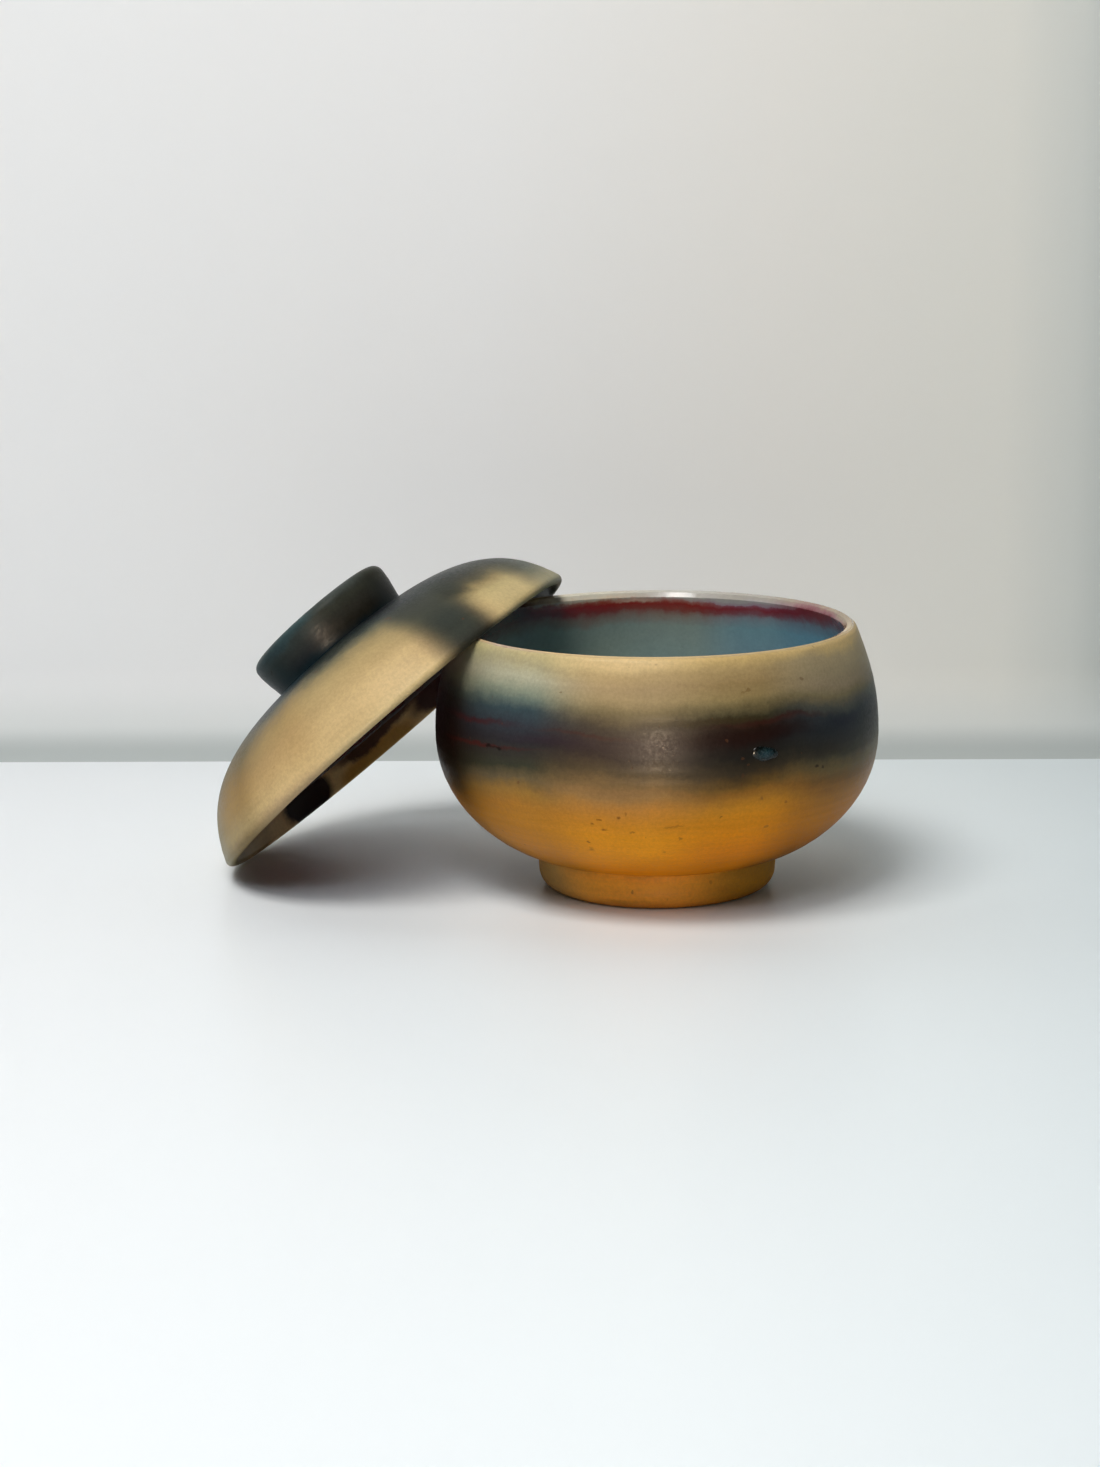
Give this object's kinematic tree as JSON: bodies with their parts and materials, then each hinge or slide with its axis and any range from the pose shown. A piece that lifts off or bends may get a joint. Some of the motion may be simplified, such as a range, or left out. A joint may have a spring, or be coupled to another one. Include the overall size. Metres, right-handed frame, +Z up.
{
  "type": "go stone bowl",
  "caption": "Round ceramic go stone bowl on a turned foot, glazed inside, with a loose domed lid that has a grip ring and leans on the bowl's lip.",
  "frame": {"origin": "centre of the bowl's foot on its resting face", "axes": "+Z up along the bowl's axis; the lid leans on the -X side of the lip; the front with the glaze drop faces -Y"},
  "size_m": [0.2124, 0.1618, 0.102],
  "materials": {
    "bare_clay": "satin, smoke-marked",
    "foot_clay": "satin",
    "pale_glaze": "gloss",
    "dark_glass": "gloss",
    "lid_clay": "satin, smoke-marked",
    "smoked_clay": "satin",
    "red_glaze": "gloss"
  },
  "bodies": {
    "bowl": {"bowl_body": "bare_clay", "bowl_foot_ring": "foot_clay", "bowl_glaze_lining": "pale_glaze", "glaze_bead": "dark_glass"},
    "lid": {"lid_dome": "lid_clay", "lid_grip_ring": "smoked_clay", "lid_glaze_lining": "red_glaze"}
  },
  "joints": [
    {"name": "lid_lift", "type": "slide", "parent": "bowl", "child": "lid", "axis": [0, 0, 1], "range_m": [0, 0.12]}
  ]
}
